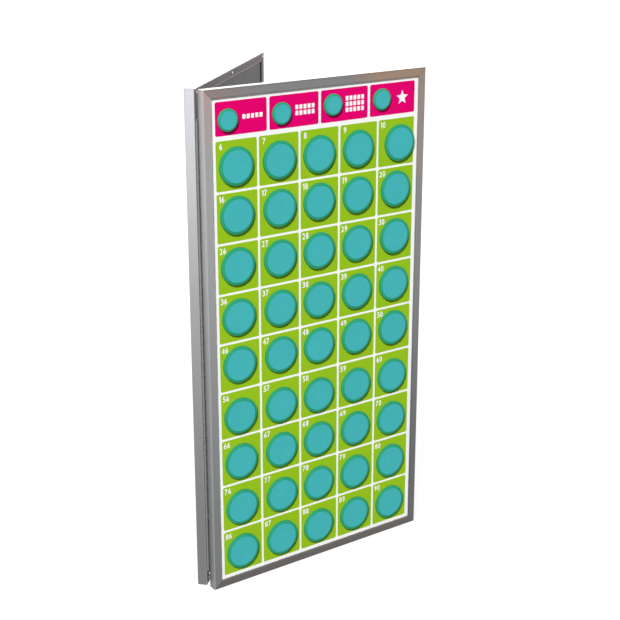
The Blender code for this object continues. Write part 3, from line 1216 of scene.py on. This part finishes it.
@dataclass(frozen=True)
class Token:
    """A magnetic token: a sea-green cap with a sloping rim, a turquoise face in it and a ferrite disc."""

    radius: float
    rim: float
    height: float
    skirt: float = 1.8 * MM
    fillet: float = 0.25 * MM
    fillet_steps: int = 3
    face_drop: float = 0.06 * MM
    groove: float = 0.08 * MM
    ring_depth: float = 0.06 * MM
    ring_width: float = 0.5 * MM
    ring_shares: tuple[float, ...] = (0.14, 0.30)
    magnet_share: float = 0.66
    magnet_recess: float = 0.15 * MM
    segments: int = 64

    def face_profile(self) -> Outline:
        """Draw the face with its faint moulded rings.

        Returns:
            Its profile as (radius, height), from the middle out.
        """
        level = self.height - self.face_drop
        edge = self.radius - self.rim
        points = [(0.0, level)]
        for share in self.ring_shares:
            start = share * edge
            points += [(start, level), (start + self.ring_depth, level - self.ring_depth),
                       (start + self.ring_width, level - self.ring_depth),
                       (start + self.ring_width + self.ring_depth, level)]
        return points + [(edge - self.groove, level), (edge - self.groove, level - self.groove)]

    def cap_profile(self) -> Outline:
        """Draw the cap with its sloping rim and its skirt.

        Returns:
            Its profile as (radius, height), from the face's groove over the rim and down to the magnet.
        """
        edge = self.radius - self.rim
        slope = math.atan2(self.height - self.skirt, self.rim)
        points = [(edge, self.height - self.face_drop - self.groove), (edge, self.height - self.groove)]
        for corner, start, end in (((edge, self.height), math.pi, math.pi / 2 - slope),
                                   ((self.radius, self.skirt), math.pi / 2 - slope, 0.0)):
            points += self.rounded(corner, start, end)
        points.append((self.radius, self.fillet))
        points += self.rounded((self.radius, 0.0), 0.0, -math.pi / 2)
        bore = self.magnet_share * self.radius + self.groove
        return points + [(bore, 0.0), (bore, self.magnet_recess + self.groove)]

    def rounded(self, corner: tuple[float, float], start: float, end: float) -> Outline:
        """Round a convex corner of the profile.

        Args:
            corner: The sharp corner as (radius, height).
            start: The direction that the surface faces before the corner.
            end: The direction that it faces after it.

        Returns:
            The points of the fillet.
        """
        middle_way = (start + end) / 2
        back = self.fillet / math.cos((start - end) / 2)
        middle = (corner[0] - back * math.cos(middle_way), corner[1] - back * math.sin(middle_way))
        turns = [start + (end - start) * step / self.fillet_steps for step in range(self.fillet_steps + 1)]
        return [(middle[0] + self.fillet * math.cos(t), middle[1] + self.fillet * math.sin(t))
                for t in turns]

    def shape(self, name: str) -> Mesh:
        """Turn the token, seated on Z = 0 and facing +Z.

        Args:
            name: The mesh's name.

        Returns:
            Its mesh, with its parts numbered and the painted shade on its skirt marked.
        """
        face, cap = self.face_profile(), self.cap_profile()
        magnet, recess = self.magnet_share * self.radius, self.magnet_recess
        disc = [(magnet, recess + self.groove), (magnet, recess), (0.0, recess)]
        parts = ([TokenPart.FACE] * (len(face) - 1) + [TokenPart.CAP] * (len(cap) + 1)
                 + [TokenPart.MAGNET] * (len(disc) - 1))
        builder = turned(face + cap + disc, self.segments, parts)
        # painted shade: the skirt below the rim is marked to take the darker colour
        contact_shade_layer = builder.verts.layers.float.new(CONTACT_SHADE_ATTRIBUTE)
        for vertex in builder.verts:
            vertex[contact_shade_layer] = float(vertex.co.z < self.skirt)
        return to_mesh(builder, name)


@dataclass
class TokenSet:
    """The tokens of both panels, each one where the CAD frame has it."""

    front: Panel
    rear: Panel
    print_top: float
    columns: int
    number_rim: float = 2.6 * MM
    header_rim: float = 1.5 * MM
    seat_gap: float = 0.08 * MM

    def __post_init__(self) -> None:
        """Build the tree that sets tokens on points."""
        self.tool = RepeatTool("set_tokens", {part.value: part.name.title() for part in TokenPart})

    @property
    def seat(self) -> float:
        """Where the tokens' undersides lie, out of the panel's middle plane."""
        return self.print_top + self.seat_gap

    def token(self, node: str, rim: float) -> Token:
        """Read one kind of token from a CAD node, with its underside brought down to the print."""
        low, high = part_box(node)
        return Token((high.x - low.x) / 2, rim, -low.y - self.seat)

    def spot(self, node: str) -> tuple[float, float, float]:
        """Return a front token's seat in the panel's space."""
        low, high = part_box(node)
        return (low.x + high.x) / 2, (low.z + high.z) / 2, self.seat

    def set_out(self, shape: Mesh, spots: Sequence[Sequence[float]]) -> Mesh:
        """Set copies of a token on some spots."""
        return self.tool.repeat(shape, spots, Face=TURQUOISE, Cap=SEA_GREEN, Magnet=FERRITE)

    def build(self, nodes: Sequence[str]) -> None:
        """Make every token, one piece for each body.

        Args:
            nodes: The names of all CAD nodes.
        """
        numbered = sorted(node for node in nodes if node.startswith("token_"))
        headers = sorted(node for node in nodes if node.startswith("header_token_"))
        large = self.token(numbered[0], self.number_rim).shape("number_token")
        small = self.token(headers[0], self.header_rim).shape("header_token")
        for node in numbered + headers:
            shape = large if node in numbered else small
            mesh = self.front.placed(self.set_out(shape, [self.spot(node)]))
            add_piece(node + "_disc", mesh, node, stands_for=[node])
        rights = [self.spot(node)[0] for node in numbered[-self.columns:]]
        ups = [self.spot(node)[1] for node in numbered[::self.columns]]
        spots = [(right, up, self.seat) for up in ups for right in rights]
        mesh = self.rear.placed(self.set_out(large, spots))
        add_piece("rear_tokens", mesh, self.rear.body, stands_for=["rear_board"])
        for shape in (large, small):
            bpy.data.meshes.remove(shape)


@dataclass
class PianoHinge:
    """The continuous hinge: two rolled leaves whose knuckles interleave on one pin."""

    front: Panel
    rear: Panel
    axis: Vector
    tool: RepeatTool
    pitch: float = 6.0 * MM
    gap: float = 0.3 * MM
    sheet: float = 0.55 * MM
    seam: float = 0.08 * MM
    clearance: float = 0.3 * MM
    curl_steps: int = 26
    leaf_fillet: float = 1.2 * MM
    fillet_steps: int = 5
    wire_radius: float = 0.65 * MM
    head_height: float = 0.6 * MM
    dome_height: float = 0.25 * MM
    # the curve of a pin's head: shares of its radius, and of the dome's height down
    dome: tuple[tuple[float, float], ...] = ((0.0, 0.0), (0.6, 0.1), (0.9, 0.5), (1.0, 1.0))
    pin_segments: int = 24

    def __post_init__(self) -> None:
        """Read the hinge's place and sizes from the CAD frame."""
        low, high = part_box("front_hinge_leaf")
        self.foot, self.top = low.z, high.z
        self.barrel = self.axis.y - low.y
        self.reach = high.x - self.axis.x
        self.out = -self.axis.y
        self.knuckles = round((self.top - self.foot) / self.pitch)
        pin_low, pin_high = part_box("hinge_pin")
        self.pin_foot, self.pin_top = pin_low.z, pin_high.z
        self.pin_head = (pin_high.y - pin_low.y) / 2

    def curl(self) -> Outline:
        """Draw a knuckle's section about the pin: the sheet runs in from +X and rolls round to its seam.

        Returns:
            The section's points, with the pin at the origin.
        """
        outer, inner = self.barrel, self.barrel - self.sheet
        start = math.pi / 2
        end = 2 * math.pi + math.asin((inner - self.seam) / outer)
        turns = [start + (end - start) * step / self.curl_steps for step in range(self.curl_steps + 1)]
        root = self.barrel + self.clearance
        outside = [(outer * math.cos(t), outer * math.sin(t)) for t in turns]
        inside = [(inner * math.cos(t), inner * math.sin(t)) for t in reversed(turns)]
        return [(root, outer), *outside, *inside, (root, inner)]

    def leaf(self, panel: Panel, first: int) -> Mesh:
        """Make one leaf: its flat strip, and every second knuckle.

        Args:
            panel: The panel that carries it.
            first: The number of its lowest knuckle, 0 or 1.

        Returns:
            The leaf's mesh in the panel's space.
        """
        stand = Matrix.Rotation(-math.pi / 2, 4, "X")
        knuckle = to_mesh(prism(self.curl(), 0.0, self.pitch - self.gap), "knuckle")
        lows = [self.foot + number * self.pitch + self.gap / 2 for number in range(first, self.knuckles, 2)]
        barrel = self.tool.repeat(knuckle, [(0.0, 0.0, low) for low in lows], Metal=PLATED_STEEL)
        bpy.data.meshes.remove(knuckle)
        root, end, round_end = self.barrel + self.clearance, self.reach, self.leaf_fillet
        corners = [(root, self.foot, 0.0), (end, self.foot, round_end), (end, self.top, round_end),
                   (root, self.top, 0.0)]
        outline, _ = filleted(corners, self.fillet_steps)
        strip = to_mesh(prism(outline, self.barrel - self.sheet, self.barrel), "strip")
        barrel.transform(Matrix.Scale(-1, 4, (0.0, 0.0, 1.0)) @ stand)
        # from the hinge's space, X away from the pin, Y up and Z to the panel, to the panel's
        pin = Matrix.Translation((panel.hinge_side * -self.axis.x, 0.0, self.out))
        flip = Matrix.Diagonal((-panel.hinge_side, 1.0, 1.0, 1.0))
        for mesh in (barrel, strip):
            mesh.transform(pin @ flip)
        return joined("leaf", [barrel, strip])

    def pin(self) -> Mesh:
        """Turn the pin with its two peened heads.

        Returns:
            Its mesh in the row frame.
        """
        half = (self.pin_top - self.pin_foot) / 2
        upper = [(across * self.pin_head, half - down * self.dome_height) for across, down in self.dome]
        upper += [(self.pin_head, half - self.head_height), (self.wire_radius, half - self.head_height)]
        lower = [(radius, -height) for radius, height in reversed(upper)]
        mesh = to_mesh(turned(upper + lower, self.pin_segments), "pin")
        mesh.transform(Matrix.Translation((self.axis.x, self.axis.y, self.pin_foot + half)))
        return mesh

    def build(self) -> None:
        """Make and dress both leaves and the pin."""
        for panel, first in ((self.front, 0), (self.rear, 1)):
            mesh = panel.placed(self.leaf(panel, first))
            add_piece(panel.named("piano_hinge_leaf"), mesh, panel.body, PLATED_STEEL,
                      [panel.named("hinge_leaf")])
        add_piece("piano_hinge_pin", self.pin(), self.front.body, PLATED_STEEL, ["hinge_pin"])


@dataclass
class Rivets:
    """The rivets on the back of a panel: along the hinge leaf, and through the flanges of two rails."""

    panel: Panel
    hinge: PianoHinge
    tool: RepeatTool
    head_radius: float = 1.7 * MM
    head_height: float = 0.55 * MM
    leaf_head_height: float = 0.35 * MM
    sink: float = 0.1 * MM
    dome_steps: int = 5
    segments: int = 20
    corner_inset: float = 6.0 * MM
    leaf_pitch: float = 48.0 * MM

    def head(self, height: float) -> Mesh:
        """Turn a domed rivet head that stands along -Z from Z = 0.

        Args:
            height: How far it stands.

        Returns:
            Its mesh.
        """
        turns = [math.pi / 2 * step / self.dome_steps for step in range(self.dome_steps)]
        dome = [(self.head_radius * math.cos(t), -height * math.sin(t)) for t in turns]
        profile = [(0.0, self.sink), (self.head_radius, self.sink), *dome, (0.0, -height)]
        return to_mesh(turned(profile, self.segments), "rivet")

    def flange_spots(self) -> list[tuple[float, float, float]]:
        """Set out the rivets on the back flanges of the top and bottom rails.

        Returns:
            Their places in the panel's space.
        """
        reach = self.panel.width / 2 - self.corner_inset
        middle = self.panel.rail_face / 2
        return [(right, up, self.panel.back) for up in (middle, self.panel.height - middle)
                for right in (-reach, 0.0, reach)]

    def leaf_spots(self) -> list[tuple[float, float, float]]:
        """Set out the rivets along the hinge leaf.

        Returns:
            Their places in the panel's space.
        """
        hinge = self.hinge
        count = round((hinge.top - hinge.foot) / self.leaf_pitch)
        step = (hinge.top - hinge.foot) / count
        across = (hinge.barrel + hinge.clearance + hinge.reach) / 2
        right = self.panel.hinge_side * (-hinge.axis.x - across)
        out = hinge.out + hinge.barrel - hinge.sheet
        return [(right, hinge.foot + (number + 0.5) * step, out) for number in range(count)]

    def build(self) -> None:
        """Make and dress both sets of rivets."""
        for part, height, spots in (("flange_rivets", self.head_height, self.flange_spots()),
                                    ("leaf_rivets", self.leaf_head_height, self.leaf_spots())):
            head = self.head(height)
            mesh = self.panel.placed(self.tool.repeat(head, spots, Metal=PLATED_STEEL))
            bpy.data.meshes.remove(head)
            add_piece(self.panel.named(part), mesh, self.panel.body)


@dataclass(frozen=True)
class SoftBox:
    """A rectangular studio light that looks at a point."""

    name: str
    spot: tuple[float, float, float]
    aim: tuple[float, float, float]
    width: float
    height: float
    power: float
    colour: str = "#ffffff"

    def build(self) -> None:
        """Hang the light."""
        lamp = bpy.data.lights.new(self.name, "AREA")
        lamp.shape = "RECTANGLE"
        lamp.size, lamp.size_y = self.width, self.height
        lamp.energy = self.power
        lamp.color = linear(self.colour)[:3]
        light = bpy.data.objects.new(self.name, lamp)
        light.location = self.spot
        light.rotation_euler = (Vector(self.aim) - Vector(self.spot)).to_track_quat("-Z", "Y").to_euler()
        light.visible_camera = False
        bpy.context.scene.collection.objects.link(light)


@dataclass
class Studio:
    """A white sweep, soft light and the camera."""

    floor_size: float = 40.0
    paper: str = "#636362"
    paper_glow: float = 0.87
    far_glow: float = 0.99
    far: float = 1.6
    ambient: float = 0.03
    sweep_side: tuple[float, float, float] = (-0.74, 0.64, 0.20)
    sweep: str = "#f6f9ff"
    room: str = "#8e8580"
    backdrop: str = "#ffffff"
    lens: float = 75.39
    sensor: float = 36.0
    shift_up: float = -0.05
    near_clip: float = 0.01
    far_clip: float = 100.0
    eye: tuple[float, float, float] = (-0.6696, -0.9475, 0.6492)
    pitch_down: float = math.radians(17.364)
    heading: float = math.radians(-34.910)
    boxes: tuple[SoftBox, ...] = (
        SoftBox("key_light", (-7.7, -6.58, 9.9), (0.0, 0.0, 0.24), 2.4, 2.4, 3290.0),
        SoftBox("back_light", (1.1, 1.6, 0.80), (0.0, 0.0, 0.47), 1.8, 1.0, 16.0),
        SoftBox("rear_light", (-1.2, 2.1, 1.3), (0.0, 0.1, 0.24), 1.0, 1.0, 46.0),
        SoftBox("inside_light", (1.75, 0.2, 0.75), (0.0, 0.05, 0.24), 1.0, 1.0, 24.0),
        SoftBox("side_light", (-1.5, -0.75, 0.50), (-0.13, 0.0, 0.4), 0.7, 0.7, 3.6, "#eaf0f8"),
        SoftBox("hinge_light", (-1.1, 1.3, 0.45), (-0.12, 0.0, 0.25), 0.8, 0.8, 0.4, "#cfe4f8"),
    )

    def seen_by(self, tree: NodeTree, *kinds: str) -> NodeSocket:
        """Tell rays of some kinds from all others.

        Args:
            tree: The material's or the world's node tree.
            kinds: The kinds, as the Light Path node names them.

        Returns:
            1 for those rays, and 0 for the others.
        """
        path = add_node(tree, "ShaderNodeLightPath").outputs
        seen = path["Is %s Ray" % kinds[0]]
        for kind in kinds[1:]:
            seen = add_node(tree, "ShaderNodeMath", {0: seen, 1: path["Is %s Ray" % kind]},
                            operation="MAXIMUM").outputs[0]
        return seen

    def build_floor(self) -> None:
        """Lay the white paper floor, which glows a little where it is seen so that it fades to white."""
        builder = bmesh.new()
        bmesh.ops.create_grid(builder, x_segments=1, y_segments=1, size=self.floor_size / 2)
        mesh = to_mesh(builder, "paper_floor")
        material = bpy.data.materials.new("matt_white_paper")
        material.use_nodes = True
        tree = material.node_tree
        tree.nodes.clear()
        matt = add_node(tree, "ShaderNodeBsdfDiffuse", {"Color": linear(self.paper)})
        place = add_node(tree, "ShaderNodeTexCoord").outputs["Object"]
        reach = add_node(tree, "ShaderNodeVectorMath", {0: place}, operation="LENGTH").outputs["Value"]
        level = add_node(tree, "ShaderNodeMapRange",
                         {"Value": reach, "From Max": self.far, "To Min": self.paper_glow,
                          "To Max": self.far_glow}).outputs["Result"]
        seen = self.seen_by(tree, "Camera", "Glossy", "Transmission")
        glow = add_node(tree, "ShaderNodeMath", {0: seen, 1: level}, operation="MULTIPLY")
        light = add_node(tree, "ShaderNodeEmission", {"Strength": glow.outputs[0]})
        both = add_node(tree, "ShaderNodeAddShader", {0: matt.outputs[0], 1: light.outputs[0]})
        add_node(tree, "ShaderNodeOutputMaterial", {"Surface": both.outputs[0]})
        mesh.materials.append(material)
        floor = bpy.data.objects.new("paper_floor", mesh)
        bpy.context.scene.collection.objects.link(floor)

    def build_world(self) -> None:
        """Set the even light from all round: white where it is seen, dimmer in mirrors off the sweep."""
        world = bpy.data.worlds.new("studio")
        bpy.context.scene.world = world
        world.use_nodes = True
        tree = world.node_tree
        tree.nodes.clear()
        seen = self.seen_by(tree, "Camera", "Glossy", "Transmission")
        strength = add_node(tree, "ShaderNodeMapRange",
                            {"Value": seen, "To Min": self.ambient, "To Max": 1.0})
        way = add_node(tree, "ShaderNodeTexCoord").outputs["Generated"]
        facing = add_node(tree, "ShaderNodeVectorMath", {0: way, 1: self.sweep_side},
                          operation="DOT_PRODUCT")
        share = add_node(tree, "ShaderNodeMapRange", {"Value": facing.outputs["Value"], "From Min": -1.0})
        mirrored = add_node(tree, "ShaderNodeMix", {0: share.outputs["Result"], 6: linear(self.room),
                                                    7: linear(self.sweep)}, data_type="RGBA").outputs[2]
        colour = add_node(tree, "ShaderNodeMix", {0: self.seen_by(tree, "Glossy"), 6: linear(self.backdrop),
                                                  7: mirrored}, data_type="RGBA").outputs[2]
        back = add_node(tree, "ShaderNodeBackground",
                        {"Color": colour, "Strength": strength.outputs["Result"]})
        add_node(tree, "ShaderNodeOutputWorld", {"Surface": back.outputs[0]})

    def build_camera(self) -> None:
        """Stand the camera where the photograph was taken from."""
        lens = bpy.data.cameras.new("camera")
        lens.lens, lens.sensor_width, lens.shift_y = self.lens, self.sensor, self.shift_up
        lens.clip_start, lens.clip_end = self.near_clip, self.far_clip
        camera = bpy.data.objects.new("camera", lens)
        camera.location = self.eye
        camera.rotation_euler = (math.pi / 2 - self.pitch_down, 0.0, self.heading)
        bpy.context.scene.collection.objects.link(camera)
        bpy.context.scene.camera = camera

    def build(self) -> None:
        """Set up the whole studio."""
        bpy.context.scene.view_settings.view_transform = "Standard"
        self.build_floor()
        self.build_world()
        self.build_camera()
        for box in self.boxes:
            box.build()


def clear_scene() -> None:
    """Remove every object that the scene starts with."""
    for item in list(bpy.data.objects):
        bpy.data.objects.remove(item, do_unlink=True)


def corners(box: tuple[Vector, Vector]) -> list[list[float]]:
    """Return a box's lowest and highest corner as plain lists."""
    return [list(corner) for corner in box]


def main() -> None:
    """Build the board's pieces in order, and the studio round them."""
    logging.basicConfig(level=logging.INFO, format="%(message)s")
    clear_scene()
    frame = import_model()
    fold = next(joint for joint in frame["joints"] if joint["name"] == "panel_fold")
    front, rear = Panel.pair(fold)

    for panel in (front, rear):
        FrameRails(panel).build()
    Board(front, "front_board").build()
    Board(rear, "rear_board").build()

    cells = CellTool()
    front_print = Print(front, cells, first_number=6)
    front_print.build(header_cells=4)
    Print(rear, cells, first_number=1).build(header_cells=1)

    ink_top = front_print.ink_top + front_print.film
    TokenSet(front, rear, ink_top, front_print.columns).build(list(frame["nodes"]))

    repeat = RepeatTool("set_metal_copies", {0: "Metal"})
    hinge = PianoHinge(front, rear, Vector(fold["pos_m"]), repeat)
    hinge.build()
    for panel in (front, rear):
        Rivets(panel, hinge, repeat).build()

    Studio().build()


if __name__ == "__main__":
    main()
